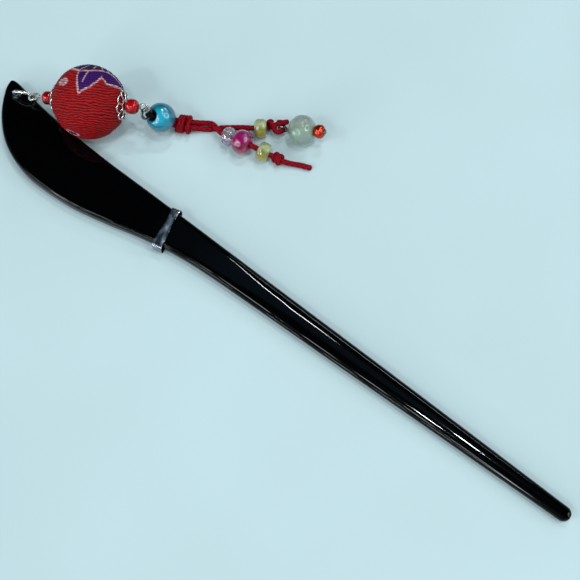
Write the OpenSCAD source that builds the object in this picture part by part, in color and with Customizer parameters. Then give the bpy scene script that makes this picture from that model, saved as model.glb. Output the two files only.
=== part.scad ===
// Hair stick with a hanging ornament, lying on a table, in millimetres, +Z up.
// It is laid out from the blade's end: +X runs to the shaft's tip and +Y to the ornament's side.
// The whole is then shifted, so that the origin is under the middle of the rigid pieces.

/* [Stick] */
// Radius of the round end of the blade
blade_end_r = 1.3; // [1.1:0.1:1.5]
// Radius of the round tip of the shaft
shaft_tip_r = 1.86; // [1.7:0.02:1.9]
// Radius of the hole near the blade's end
hole_r = 1.1; // [1.05:0.05:1.15]

/* [Band] */
// Width of the metal strip
band_w = 2.3; // [2:0.1:2.5]
// Thickness of the metal strip
band_t = 0.25; // [0.2:0.05:0.3]

/* [Ball and wire] */
// Diameter of the fabric ball
ball_d = 19; // [18:0.1:19]
// Radius of the wire through the ball
pin_r = 0.3; // [0.26:0.01:0.31]
// Rim radius of each petal cap
cap_rim_r = 3.9; // [3.5:0.1:3.9]
// Thickness of each petal cap
cap_t = 0.35; // [0.3:0.05:0.4]
// Number of petals on a cap
cap_petals = 8; // [6:1:8]

/* [Cord] */
// Diameter of the cord
cord_d = 1.5; // [1.4:0.05:1.5]
// Diameter of the cord where the blue bead's bore squeezes it
cord_squeezed_d = 1.0; // [0.9:0.05:1]

/* [Hidden] */

$fn = 48;
// Place of the origin in the layout, under the middle of the rigid pieces
origin_at = [90.22, 0.04, 0];

// Stick: a row for each section, from its back edge to its belly edge
BACK_X = 0;
BACK_Y = 1;
BELLY_X = 2;
BELLY_Y = 3;
UNDER = 4;
TOP = 5;
CORNER_W = 6;
CORNER_H = 7;
stick_rows = [
    // back x, back y, belly x, belly y, under, top, corner width, corner height
    [1.55, 1.55, 0.31, -0.15, 1.4, 3.3, 0.9, 0.85],
    [2.3, 1.58, 0.62, -1.3, 1.4, 3.3, 1, 0.9],
    [3.3, 1.5, 1.3, -2.6, 1.4, 3.32, 1.1, 0.9],
    [5, 1.25, 2.98, -5.12, 1.4, 3.36, 1.1, 0.9],
    [7.5, 0.95, 4.82, -7.43, 1.4, 3.4, 1.2, 0.95],
    [10.5, 0.6, 7.33, -9.9, 1.3, 3.45, 1.2, 1],
    [14, 0.25, 11.14, -12.69, 0.75, 3.5, 1.2, 1],
    [18, 0, 16.02, -14.97, 0.15, 3.5, 1.2, 1],
    [23, -0.2, 22.4, -16.48, 0, 3.5, 1.2, 1],
    [29, -0.35, 29.2, -16.5, 0, 3.5, 1.2, 1],
    [38, -0.35, 38, -15.57, 0, 3.5, 1.2, 1],
    [48, -0.16, 48, -13.23, 0, 3.5, 1.2, 1],
    [57, 0, 57, -10.85, 0.4, 3.6, 1.3, 1.1],
    [67, 0.2, 67, -8.8, 0.4, 3.6, 1.5, 1.25],
    [77, 0.35, 77, -7.7, 0.4, 3.6, 1.8, 1.4],
    [95, 0.64, 95, -6.65, 0.3, 3.5, 3.1, 1.55],
    [120, 1.05, 120, -5.27, 0.15, 3.35, 9, 9],
    [150, 1.43, 150, -3.57, 0, 3.15, 9, 9],
    [178.39, 1.69, 178.39, -2.03, 0, 2.9, 9, 9],
];
blade_end_at = [1.55, 0.25];
// Angles of the blade's round end: its apex, and where each edge leaves it
blade_end_apex = 148;
blade_end_back = 90;
blade_end_belly = 198;
shaft_tip_at = [178.39, -0.17];
row_splits = 2;
corner_steps = 3;
end_steps = 4;
first_end_angle = 15;
hole_at = [4.6, -1.4];

// Band: it lies round the stick a little askew
band_at = [61.2, -5];
band_turn = 14.8;
band_inner_w = 11.5;
band_inner_low = 0.33;
band_inner_high = 3.67;
band_corner_r = 0.8;
// The lapped end lies on the band from here to the back edge, across the stick
band_lap = [0.7, 5.25];

// Ball and its wire: the wire's axis points from the left loop to the right one
ball_at = [24.65, 7.23, ball_d / 2];
pin_turn = 28;
pin_tilt = 8.2;
ball_bore_r = 0.55;
// The wire's loops are a little thicker, as they are where the wire's turns lie together
loop_wire_r = 0.33;
cap_gap = 0.1;
cap_out_r = ball_d / 2 + cap_gap + cap_t;
petal_r = 1.15;
petal_hole_r = 0.72;
cap_disc_r = 1.75;
red_bead_left_size = [3.5, 3];
red_bead_right_size = [3.9, 3.3];
red_bead_bore_r = 0.5;
left_bead_end = cap_out_r + 0.05 + red_bead_left_size[1];
right_bead_end = cap_out_r + 0.05 + red_bead_right_size[1];
left_loop_at = [9.86, 0.62, 5.1];
left_loop_r = 1.49;
// A ring's lie: how far its axis leans from upright, and where it leans to
left_loop_lie = [33.4, 153];
right_loop_r = 1.23;
right_loop_along = 14.97;
right_loop_lie = [78.3, -63.7];

tip_ring_at = [6.83, -0.25, 3.43];
tip_ring_r = 3.09;
tip_ring_wire_r = 0.38;
tip_ring_lie = [76.7, 118.1];
link_ring_at = [38.42, 13.95, 9.89];
link_ring_r = 1.43;
link_ring_wire_r = 0.28;
link_ring_lie = [62.1, -2];

// Beads: diameter, length and bore radius
WIDE = 0;
LONG = 1;
BORE = 2;
blue = [7.6, 7.2, 1.5];
clear = [4.9, 3.1, 0.85];
magenta = [6.4, 4.9, 0.85];
yellow = [5, 3.3, 0.85];
pale = [8, 6.8, 0.5];
end = [3.6, 2.7, 0.45];
// The blue bead hangs askew from the link ring, with the cord's fold in its bore
blue_at = [40.2, 16.78, 5.98];
blue_turn = 62.3;
blue_tilt = -48.2;

// Cord routes, from the fold that holds the link ring to each strand's end, with each point's radius.
// A stretch between two named points is straight, and holds the knots and beads that are placed on it.
squeezed = cord_squeezed_d / 2;
full = cord_d / 2;
fold = [38.7, 13.9, 9.6];
fold_way = [1, 0, 0.5];
fold_gap = 0.08; // [0.04:0.02:0.2]
main_lower_in = [42.1, 20, 2.2];
main_lower_out = [45.6, 22.2, 2.1];
main_upper_in = [43, 18.6, 2.2];
main_upper_out = [46.5, 20.8, 2.1];
pair_in = [54.2, 24.7, 2.2];
pair_out = [62.8, 26.2, 3.7];
stop_in = [64.3, 26.85, 2.95];
stop_out = [71.7, 28.8, 1.55];
single_in = [59.1, 30.7, 2.5];
single_out = [62.5, 33.4, 2.6];
lower_route = [
    [fold, squeezed], [[38.3, 14, 9.1], squeezed], [[38.2, 14.4, 8.6], squeezed],
    [[39.5, 16.7, 5.6], squeezed], [[40.5, 18.8, 3.1], squeezed], [[41.2, 19.4, 2.5], full],
    [main_lower_in, full], [main_lower_out, full], [[46.8, 23.6, 1.2], full], [[48.3, 24.8, 1.1], full],
    [[50, 25.3, 2.12], full], [[51.6, 25, 2.6], full], [[53, 24.6, 2.4], full],
    [pair_in, full], [pair_out, full], [stop_in, full], [stop_out, full],
    [[73.4, 29.9, 0.9], full], [[75.2, 31, 0.8], full], [[78.2, 32.25, 0.8], full],
];
upper_route = [
    [fold, squeezed], [[39.3, 14, 9.6], squeezed], [[39.7, 14.5, 9.3], squeezed],
    [[40.9, 16.8, 6.3], squeezed], [[42, 18.6, 3.7], squeezed], [[42.5, 18.5, 2.8], full],
    [main_upper_in, full], [main_upper_out, full], [[47.9, 22.4, 1.1], full], [[49.5, 23.6, 0.8], full],
    [[51.1, 25.1, 0.8], full], [[52.8, 26.9, 0.8], full], [[54.5, 28.3, 0.9], full],
    [[56.6, 29.6, 1.5], full], [single_in, full], [single_out, full],
];
cord_sides = 8;
// How far along its straight stretch each piece's middle lies
clear_along = 1.86;
magenta_along = 6.1;
yellow_lower_along = 1.79;
lower_knot_along = 5.94;
yellow_upper_along = 2.3;
main_knot_along = 2.07;

// Knots: length, width and height, and their outside swells once for each turn of cord
main_knot_size = [3.6, 5.5, 4.2];
main_knot_hole = [3.7, 1.9];
lower_knot_size = [3.1, 3.7, 3.5];
upper_knot_at = [62.25, 35, 1.8];
upper_knot_turn = 60;
upper_knot_size = [1.9, 3.2, 3.2];
knot_hole = [1.75, 1.75];

// Drop: a head pin through the pale bead and the end bead, whose eye holds the upper knot's loop
pale_at = [70.3, 37.95, 4.02];
drop_turn = 25;
drop_tilt = 17;
end_along = 4.8;
drop_wire_r = 0.28;
eye_r = 1.15;
eye_along = 5.4;
eye_at = pale_at - eye_along
    * [cos(drop_tilt) * cos(drop_turn), cos(drop_tilt) * sin(drop_turn), sin(drop_tilt)];
head_r = 0.75;
head_t = 0.4;
// The loop's far side passes through the middle of the eye
upper_loop_r = 1.2;
upper_loop_cord_r = 0.55;
upper_loop_at = eye_at - upper_loop_r * [cos(drop_turn), sin(drop_turn), 0];
short_end_from = [63.9, 36.2, 2.5];
short_end_to = [66.1, 37.2, 4.9];

function unit(v) = v / norm(v);
function mix_of(a, b, t) = a + (b - a) * t;
function curve(a, b, c, d, t) =
    b + 0.5 * t * (c - a + t * (2 * a - 5 * b + 4 * c - d + t * (3 * (b - c) + d - a)));

// A row of the stick's table between two rows: the outline is a smooth curve, the rest is straight
function row_between(i, t) =
    let (last = len(stick_rows) - 1)
    let (a = stick_rows[max(i - 1, 0)], b = stick_rows[i])
    let (c = stick_rows[i + 1], d = stick_rows[min(i + 2, last)])
    [for (k = [0:CORNER_H]) k < UNDER ? curve(a[k], b[k], c[k], d[k], t) : mix_of(b[k], c[k], t)];

// The points round one section, and shrink is how much its height loses near a round end
function section(row, shrink) =
    let (back = [row[BACK_X], row[BACK_Y]], belly = [row[BELLY_X], row[BELLY_Y]])
    let (mid = (back + belly) / 2, across = unit(back - belly), half_w = norm(back - belly) / 2)
    let (half_h = (row[TOP] - row[UNDER]) / 2 - shrink, mid_z = (row[TOP] + row[UNDER]) / 2)
    let (cw = min(half_w * 0.96, row[CORNER_W]), ch = min(half_h * 0.96, row[CORNER_H]))
    [for (quarter = [0:3], step = [0:corner_steps])
        let (angle = 90 * (quarter + step / corner_steps))
        let (w = (half_w - cw) * (quarter == 0 || quarter == 3 ? 1 : -1) + cw * cos(angle))
        let (h = (half_h - ch) * (quarter < 2 ? 1 : -1) + ch * sin(angle))
        [mid[0] + across[0] * w, mid[1] + across[1] * w, mid_z + h]];

// A section of a round end: its two edges lie on the end's circle
function end_section(at, r, back_angle, belly_angle, share, row) =
    let (gone = r * (1 - sin(90 * share)), fillet = min(r, row[CORNER_H], (row[TOP] - row[UNDER]) / 2))
    let (shrink = gone > 0 ? fillet - sqrt(max(0, fillet ^ 2 - (min(fillet, gone)) ^ 2)) : 0)
    let (back = at + r * [cos(back_angle), sin(back_angle)])
    let (belly = at + r * [cos(belly_angle), sin(belly_angle)])
    section([back[0], back[1], belly[0], belly[1], row[UNDER], row[TOP], row[CORNER_W], row[CORNER_H]],
        shrink);

function blade_end_sections() = [for (k = [0:end_steps - 1])
    let (share = mix_of(first_end_angle / 90, 1, k / end_steps))
    end_section(blade_end_at, blade_end_r, mix_of(blade_end_apex, blade_end_back, share),
        mix_of(blade_end_apex, blade_end_belly, share), share, stick_rows[0])];

function shaft_tip_sections() = [for (k = [end_steps - 1:-1:0])
    let (share = mix_of(first_end_angle / 90, 1, k / end_steps))
    end_section(shaft_tip_at, shaft_tip_r, 90 * share, -90 * share, share, stick_rows[len(stick_rows) - 1])];

function body_sections() = [for (i = [0:len(stick_rows) - 2], k = [0:row_splits - 1])
    section(row_between(i, k / row_splits), 0)];

// A closed skin over rings of points, each ring with the same count
module skin(rings) {
    count = len(rings[0]);
    last = len(rings) - 1;
    points = [for (ring = rings) each ring];
    sides = [for (i = [0:last - 1], j = [0:count - 1])
        let (a = i * count + j, b = i * count + (j + 1) % count)
        each [[a, a + count, b], [b, a + count, b + count]]];
    first_cap = [for (j = [0:count - 1]) j];
    last_cap = [for (j = [count - 1:-1:0]) last * count + j];
    polyhedron(points, concat(sides, [first_cap], [last_cap]), convexity = 6);
}

// A skin that closes on itself, ring after ring, such as a sleeve with a passage
module closed_skin(rings) {
    count = len(rings[0]);
    rows = len(rings);
    points = [for (ring = rings) each ring];
    sides = [for (i = [0:rows - 1], j = [0:count - 1])
        let (a = i * count + j, b = i * count + (j + 1) % count)
        let (c = ((i + 1) % rows) * count + j, d = ((i + 1) % rows) * count + (j + 1) % count)
        each [[a, c, b], [b, c, d]]];
    polyhedron(points, sides, convexity = 6);
}

// Turns a child whose axis is Z, so that the axis points to turn and rises by tilt
module aim(at, turn, tilt) {
    translate(at) rotate([0, 90 - tilt, turn]) children();
}

module wire_ring(at, lie, r, wire_r) {
    translate(at) rotate([0, lie[0], lie[1]]) rotate_extrude() translate([r, 0]) circle(wire_r);
}

module rod(from, to, r) {
    way = to - from;
    aim(from, atan2(way[1], way[0]), asin(way[2] / norm(way))) cylinder(h = norm(way), r = r);
}

module rounded_box_outline(w, h, r) {
    square([w - 2 * r, h], center = true);
    square([w, h - 2 * r], center = true);
    for (x = [-1, 1], y = [-1, 1]) translate([x * (w / 2 - r), y * (h / 2 - r)]) circle(r);
}

// Half of a bead's outline: its rim is round, and its ends are flat near the bore
module bead_outline(wide, long, r) {
    translate([0, -long / 2]) square([wide / 2 - r, long]);
    translate([0, -long / 2 + r]) square([wide / 2, long - 2 * r]);
    for (side = [-1, 1]) translate([wide / 2 - r, side * (long / 2 - r)]) circle(r);
}

module bead(wide, long, bore_r, roundness) {
    rotate_extrude() intersection() {
        bead_outline(wide, long, long / 2 * roundness);
        translate([bore_r, -long]) square([wide, 2 * long]);
    }
}

module drilled(size, roundness) {
    bead(size[WIDE], size[LONG], size[BORE], roundness);
}

module on_pin() {
    aim(ball_at, pin_turn, pin_tilt) children();
}

module on_drop() {
    aim(pale_at, drop_turn, drop_tilt) children();
}

// Places a child on the straight stretch from one point to another, with its axis Z along it
module on_stretch(from, to, along) {
    way = unit(to - from);
    aim(from + along * way, atan2(way[1], way[0]), asin(way[2])) children();
}

// A tube along a route, whose first face is square to start_way and half the fold's gap along it
module cord_tube(route, start_way) {
    last = len(route) - 1;
    rings = [for (i = [0:last])
        let (way = i == 0 ? unit(start_way) : unit(route[min(i + 1, last)][0] - route[i - 1][0]))
        let (side = unit(cross(way, [0, 0, 1])), up = cross(side, way))
        let (middle = route[i][0] + (i == 0 ? fold_gap / 2 * way : [0, 0, 0]))
        [for (k = [0:cord_sides - 1])
            let (angle = 360 * (k + 0.5) / cord_sides)
            middle + route[i][1] * (side * cos(angle) + up * sin(angle))]];
    skin(rings);
}

// A knot's solid: a sleeve along Z with turns of cord as swells, and an oval passage
module knot_sleeve(size, hole, turns, rows = 8, sides = 16) {
    outer = [for (i = [0:rows])
        let (s = i / rows, end = 0.72 + 0.28 * sin(180 * s) ^ 0.6)
        [for (k = [0:sides - 1])
            let (angle = 360 * k / sides)
            let (swell = end * (0.95 + 0.05 * cos(360 * turns * s - angle)))
            [size[2] / 2 * swell * sin(angle), size[1] / 2 * swell * cos(angle), (0.5 - s) * size[0]]]];
    inner = [for (i = [rows, 0])
        [for (k = [0:sides - 1])
            let (angle = 360 * k / sides)
            [hole[1] / 2 * sin(angle), hole[0] / 2 * cos(angle), (0.5 - i / rows) * size[0]]]];
    closed_skin(concat(outer, inner));
}

module stick() {
    color([0.02, 0.02, 0.03]) difference() {
        skin(concat(blade_end_sections(), body_sections(),
            [section(stick_rows[len(stick_rows) - 1], 0)], shaft_tip_sections()));
        translate([hole_at[0], hole_at[1], -1]) cylinder(h = 6, r = hole_r);
    }
}

module band() {
    inner_h = band_inner_high - band_inner_low;
    mid_z = (band_inner_high + band_inner_low) / 2;
    color([0.7, 0.7, 0.68]) translate([band_at[0], band_at[1], mid_z]) rotate([90, 0, 90 + band_turn])
        translate([0, 0, -band_w / 2]) linear_extrude(band_w) {
            difference() {
                rounded_box_outline(band_inner_w + 2 * band_t, inner_h + 2 * band_t, band_corner_r + band_t);
                rounded_box_outline(band_inner_w, inner_h, band_corner_r);
            }
            translate([band_lap[0], inner_h / 2 + band_t / 2])
                square([band_lap[1] - band_lap[0], 1.5 * band_t]);
        }
}

module tip_ring() {
    color([0.78, 0.77, 0.74]) wire_ring(tip_ring_at, tip_ring_lie, tip_ring_r, tip_ring_wire_r);
}

module eye_pin() {
    way = [cos(pin_tilt) * cos(pin_turn), cos(pin_tilt) * sin(pin_turn), sin(pin_tilt)];
    bend_at = ball_at - (left_bead_end + pin_r) * way;
    right_loop_at = ball_at + right_loop_along * way;
    to_bend = unit(bend_at - left_loop_at);
    color([0.75, 0.74, 0.7]) {
        rod(bend_at, right_loop_at - right_loop_r * way, pin_r);
        translate(bend_at) sphere(loop_wire_r);
        rod(left_loop_at + left_loop_r * to_bend, bend_at, pin_r);
        wire_ring(left_loop_at, left_loop_lie, left_loop_r, loop_wire_r);
        wire_ring(right_loop_at, right_loop_lie, right_loop_r, loop_wire_r);
    }
}

module red_bead_left() {
    color([0.7, 0.05, 0.06]) on_pin() translate([0, 0, -left_bead_end + red_bead_left_size[1] / 2])
        bead(red_bead_left_size[0], red_bead_left_size[1], red_bead_bore_r, 0.8);
}

module red_bead_right() {
    color([0.7, 0.05, 0.06]) on_pin() translate([0, 0, right_bead_end - red_bead_right_size[1] / 2])
        bead(red_bead_right_size[0], red_bead_right_size[1], red_bead_bore_r, 0.8);
}

// Petals and middle of a cap, seen along the wire
module cap_outline() {
    petal_at = cap_rim_r - petal_r;
    difference() {
        union() {
            circle(cap_disc_r);
            for (k = [0:cap_petals - 1]) rotate(360 * k / cap_petals) translate([petal_at, 0]) circle(petal_r);
        }
        for (k = [0:cap_petals - 1]) rotate(360 * k / cap_petals) translate([petal_at, 0])
            circle(petal_hole_r);
        circle(red_bead_bore_r);
    }
}

module cap(side) {
    on_pin() intersection() {
        difference() {
            sphere(cap_out_r);
            sphere(cap_out_r - cap_t);
        }
        translate([0, 0, side > 0 ? 5 : -12]) linear_extrude(7) cap_outline();
    }
}

module cap_left() {
    color([0.78, 0.77, 0.74]) cap(-1);
}

module cap_right() {
    color([0.78, 0.77, 0.74]) cap(1);
}

module fabric_ball() {
    color([0.68, 0.1, 0.12]) difference() {
        translate(ball_at) sphere(ball_d / 2);
        on_pin() cylinder(h = ball_d + 2, r = ball_bore_r, center = true);
    }
}

module link_ring() {
    color([0.3, 0.3, 0.28]) wire_ring(link_ring_at, link_ring_lie, link_ring_r, link_ring_wire_r);
}

module blue_bead() {
    color([0.1, 0.6, 0.75]) aim(blue_at, blue_turn, blue_tilt) drilled(blue, 0.97);
}

module cord_lower() {
    color([0.6, 0.04, 0.08]) cord_tube(lower_route, -fold_way);
}

module cord_upper() {
    color([0.6, 0.04, 0.08]) cord_tube(upper_route, fold_way);
}

module knot_main() {
    color([0.6, 0.04, 0.08])
        on_stretch((main_lower_in + main_upper_in) / 2, (main_lower_out + main_upper_out) / 2, main_knot_along)
        knot_sleeve(main_knot_size, main_knot_hole, 3);
}

module clear_bead() {
    color([0.75, 0.72, 0.85]) on_stretch(pair_in, pair_out, clear_along) drilled(clear, 0.85);
}

module magenta_bead() {
    color([0.8, 0.1, 0.45]) on_stretch(pair_in, pair_out, magenta_along) drilled(magenta, 0.9);
}

module yellow_bead_lower() {
    color([0.65, 0.65, 0.3]) on_stretch(stop_in, stop_out, yellow_lower_along) drilled(yellow, 0.75);
}

module knot_lower() {
    color([0.6, 0.04, 0.08]) on_stretch(stop_in, stop_out, lower_knot_along)
        knot_sleeve(lower_knot_size, knot_hole, 2);
}

module yellow_bead_upper() {
    color([0.65, 0.65, 0.3]) on_stretch(single_in, single_out, yellow_upper_along) drilled(yellow, 0.75);
}

module knot_upper() {
    color([0.6, 0.04, 0.08]) {
        aim(upper_knot_at, upper_knot_turn, 0) knot_sleeve(upper_knot_size, knot_hole, 1);
        wire_ring(upper_loop_at, [0, 0], upper_loop_r, upper_loop_cord_r);
        rod(short_end_from, short_end_to, upper_loop_cord_r);
    }
}

module head_pin() {
    head_at = end_along + end[LONG] / 2 + 0.05;
    color([0.6, 0.6, 0.57]) {
        wire_ring(eye_at, [90, drop_turn - 90], eye_r, drop_wire_r);
        on_drop() {
            translate([0, 0, eye_r - eye_along]) cylinder(h = eye_along - eye_r + head_at + head_t / 2, r = 0.26);
            translate([0, 0, head_at]) cylinder(h = head_t, r = head_r);
        }
    }
}

module pale_bead() {
    color([0.7, 0.78, 0.72]) on_drop() drilled(pale, 0.97);
}

module end_bead() {
    color([0.8, 0.25, 0.15]) on_drop() translate([0, 0, end_along]) drilled(end, 0.85);
}

translate(-origin_at) {
    stick();
    band();
    tip_ring();
    eye_pin();
    red_bead_left();
    cap_left();
    fabric_ball();
    cap_right();
    red_bead_right();
    link_ring();
    blue_bead();
    cord_lower();
    cord_upper();
    knot_main();
    clear_bead();
    magenta_bead();
    yellow_bead_lower();
    knot_lower();
    yellow_bead_upper();
    knot_upper();
    head_pin();
    pale_bead();
    end_bead();
}
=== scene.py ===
"""Hair stick with a hanging ornament: the looks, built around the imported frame."""
import math

import bpy
import numpy as np
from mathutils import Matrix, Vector, noise


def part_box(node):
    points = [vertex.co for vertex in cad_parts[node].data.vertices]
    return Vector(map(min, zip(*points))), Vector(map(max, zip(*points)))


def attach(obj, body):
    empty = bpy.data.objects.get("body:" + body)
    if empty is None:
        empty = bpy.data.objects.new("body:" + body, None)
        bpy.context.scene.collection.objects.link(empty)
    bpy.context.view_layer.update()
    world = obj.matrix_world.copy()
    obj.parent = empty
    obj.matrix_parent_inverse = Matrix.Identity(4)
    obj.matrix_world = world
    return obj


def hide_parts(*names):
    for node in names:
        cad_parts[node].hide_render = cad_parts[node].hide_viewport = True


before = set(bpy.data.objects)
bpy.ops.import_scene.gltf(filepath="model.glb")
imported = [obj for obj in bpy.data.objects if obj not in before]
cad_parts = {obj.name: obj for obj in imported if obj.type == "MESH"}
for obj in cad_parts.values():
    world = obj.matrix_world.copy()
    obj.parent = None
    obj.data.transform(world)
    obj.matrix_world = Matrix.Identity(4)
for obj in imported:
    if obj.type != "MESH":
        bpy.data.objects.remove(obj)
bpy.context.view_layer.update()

# Shapes are laid out in millimetres from the blade's end, and at() turns them into the row frame's metres
MM = 0.001
ORIGIN = np.array([90.22, 0.04, 0])


def at(point):
    """A layout point, in millimetres, as a point of the row frame, in metres."""
    return Vector((np.asarray(point, float)[:3] - ORIGIN) * MM)


def unit(v):
    v = np.asarray(v, float)
    return v / np.linalg.norm(v)


def aimed(turn, tilt):
    """The direction that points to turn and rises by tilt, in degrees."""
    t, e = math.radians(turn), math.radians(tilt)
    return np.array([math.cos(e) * math.cos(t), math.cos(e) * math.sin(t), math.sin(e)])


def leaned(lie):
    """The axis of a ring whose lie says how far it leans from upright, and where to."""
    return aimed(lie[1], 90 - lie[0])


def square_to(axis):
    """Two directions that are square to an axis and to each other."""
    axis = unit(axis)
    spare = np.array([0, 0, 1]) if abs(axis[2]) < 0.9 else np.array([1, 0, 0])
    side = unit(np.cross(axis, spare))
    return side, np.cross(side, axis)


def full_turn(count):
    return np.linspace(0, 360, count, endpoint=False)


def spokes(side, up, degrees):
    """The directions at these angles from side towards up."""
    a = np.radians(degrees)
    return np.outer(np.cos(a), side) + np.outer(np.sin(a), up)


# Camera
CAMERA_TARGET = (94.95, 2.77, 0)
CAMERA_AZIMUTH = 39.29
CAMERA_ELEVATION = 70
CAMERA_DISTANCE = 249.84
CAMERA_LENS = 62.07


def make_camera():
    data = bpy.data.cameras.new("camera")
    data.lens = CAMERA_LENS
    data.sensor_width = 36
    data.clip_start = 0.001
    data.clip_end = 10
    camera = add_object("camera", data)
    away = Vector(aimed(CAMERA_AZIMUTH - 90, CAMERA_ELEVATION))
    camera.location = at(CAMERA_TARGET) + away * CAMERA_DISTANCE * MM
    camera.rotation_euler = (-away).to_track_quat("-Z", "Y").to_euler()
    bpy.context.scene.camera = camera


# Meshes
def add_object(name, data):
    made = bpy.data.objects.new(name, data)
    bpy.context.scene.collection.objects.link(made)
    return made


def layout_mesh(name, verts, faces):
    mesh = bpy.data.meshes.new(name)
    mesh.from_pydata(((np.asarray(verts, float) - ORIGIN) * MM).tolist(), [], faces)
    mesh.update()
    return mesh


def make_piece(name, verts, faces, material, values=None):
    """A piece from layout points and faces, which replaces the CAD node of its name."""
    mesh = layout_mesh(name, verts, faces)
    mesh.shade_smooth()
    for key, column in (values or {}).items():
        layer = mesh.attributes.new(key, "FLOAT", "POINT")
        layer.data.foreach_set("value", np.asarray(column, np.float32))
    mesh.materials.append(material)
    piece = add_object(name, mesh)
    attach(piece, "root")
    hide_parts(name)
    return piece


def join_parts(parts):
    """Several (verts, faces) pairs as one pair."""
    verts, faces, base = [], [], 0
    for part_verts, part_faces in parts:
        verts.append(np.asarray(part_verts, float))
        faces += [tuple(i + base for i in f) for f in part_faces]
        base += len(part_verts)
    return np.vstack(verts), faces


def grid_faces(rows, cols, wrap_rows=False, wrap_cols=True):
    """Quads between neighbouring points of a grid that is stored row by row."""
    faces = []
    for i in range(rows if wrap_rows else rows - 1):
        for j in range(cols if wrap_cols else cols - 1):
            a, b = i * cols + j, i * cols + (j + 1) % cols
            c, d = ((i + 1) % rows) * cols + (j + 1) % cols, ((i + 1) % rows) * cols + j
            faces.append((a, b, c, d))
    return faces


def end_fans(rows, cols):
    """Triangles that close a grid's first and last rows to the two points stored after it."""
    first, last, base = rows * cols, rows * cols + 1, (rows - 1) * cols
    fans = [(first, (j + 1) % cols, j) for j in range(cols)]
    return fans + [(last, base + j, base + (j + 1) % cols) for j in range(cols)]


def slab(lower, upper, rows, cols):
    """Two grids of points that lie over each other, closed round their rims."""
    base = rows * cols
    faces = grid_faces(rows, cols, wrap_cols=False)
    faces += [tuple(i + base for i in reversed(f)) for f in faces]
    rim = list(range(cols)) + [i * cols + cols - 1 for i in range(1, rows)]
    rim += [(rows - 1) * cols + j for j in range(cols - 2, -1, -1)]
    rim += [i * cols for i in range(rows - 2, 0, -1)]
    faces += [(b, a, a + base, b + base) for a, b in zip(rim, rim[1:] + rim[:1])]
    return np.vstack([lower, upper]), faces


def lengths_so_far(points):
    return np.concatenate([[0], np.cumsum(np.linalg.norm(np.diff(points[:, :3], axis=0), axis=1))])


CORNER_POINTS = 6
SAME_PLACE = 1e-6


def rounded_path(points, reach):
    """A polyline whose corners are rounded by curves that start at most reach from them."""
    points = np.asarray(points, float)
    out = [points[0]]
    for a, p, b in zip(points[:-2], points[1:-1], points[2:]):
        before, after = np.linalg.norm((a - p)[:3]), np.linalg.norm((b - p)[:3])
        start = p + (a - p) * min(reach / before, 0.5)
        end = p + (b - p) * min(reach / after, 0.5)
        for t in np.linspace(0, 1, CORNER_POINTS):
            out.append((1 - t) ** 2 * start + 2 * t * (1 - t) * p + t ** 2 * end)
    out = np.array([*out, points[-1]])
    return out[np.diff(lengths_so_far(out), prepend=-1) > SAME_PLACE]


def resampled(points, step):
    """The same path with points about step apart, and its length so far at each."""
    along = lengths_so_far(points)
    count = max(2, int(round(along[-1] / step)) + 1)
    places = np.linspace(0, along[-1], count)
    return np.stack([np.interp(places, along, column) for column in points.T], axis=1), places


def sweep(path, sides, relief=None, closed=False):
    """A tube along points that hold x, y, z and the radius, to which relief(angles, along) is added."""
    spots, radii = path[:, :3], path[:, 3]
    count = len(spots)
    ways = np.roll(spots, -1, 0) - np.roll(spots, 1, 0)
    if not closed:
        ways[0], ways[-1] = spots[1] - spots[0], spots[-1] - spots[-2]
    ways /= np.linalg.norm(ways, axis=1)[:, None]
    along = lengths_so_far(spots)
    side = square_to(ways[0])[0]
    section_sides = []
    for way in ways:
        side = unit(side - way * np.dot(side, way))
        section_sides.append(side)
    slip = 0
    if closed:
        first = section_sides[0]
        back = unit(side - ways[0] * np.dot(side, ways[0]))
        slip = math.atan2(np.dot(back, np.cross(ways[0], first)), np.dot(back, first))
    angles = np.radians(full_turn(sides))
    verts = []
    for i, side in enumerate(section_sides):
        turn = angles - slip * i / count
        r = radii[i] + (relief(angles, along[i]) if relief else 0)
        up = np.cross(ways[i], side)
        verts.append(spots[i] + np.outer(r * np.cos(turn), side) + np.outer(r * np.sin(turn), up))
    faces = grid_faces(count, sides, wrap_rows=closed)
    if not closed:
        verts.append([spots[0], spots[-1]])
        faces += end_fans(count, sides)
    return np.vstack(verts), faces


def with_radius(points, radius):
    points = np.asarray(points, float)
    return np.hstack([points, np.full((len(points), 1), radius)])


def arc_path(centre, axis, radius, wire, count, turn, start=0):
    """Points of a circle's arc about an axis, with the wire's radius as a fourth value."""
    outs = spokes(*square_to(axis), start + np.linspace(0, turn, count))
    return with_radius(centre + radius * outs, wire)


def lathe(profile, centre, axis, count):
    """A closed outline of (radius, along) points, turned about an axis."""
    radii, along = np.asarray(profile, float).T
    core = centre + np.outer(along, unit(axis))
    rings = [core + np.outer(radii, out) for out in spokes(*square_to(axis), full_turn(count))]
    return np.vstack(rings), [tuple(reversed(f)) for f in grid_faces(count, len(profile), wrap_rows=True)]


def quarter_round(radius, steps):
    """How far the points of a rounded edge lie within its two faces."""
    turns = np.linspace(0, math.pi / 2, steps + 1)
    return list(zip(radius * (1 - np.sin(turns)), radius * (1 - np.cos(turns))))


def rounded_box(half_w, half_h, corner_w, corner_h, steps, first=0):
    """A flat outline with round corners, from the corner first."""
    points = []
    for quarter in range(first, first + 4):
        sign_w, sign_h = ((1, 1), (-1, 1), (-1, -1), (1, -1))[quarter % 4]
        for a in np.linspace(quarter, quarter + 1, steps + 1) * math.pi / 2:
            points.append(((half_w - corner_w) * sign_w + corner_w * math.cos(a),
                           (half_h - corner_h) * sign_h + corner_h * math.sin(a)))
    return points


RIM_STEPS = 20
LIP_STEPS = 4
BORE_STEPS = 5


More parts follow.
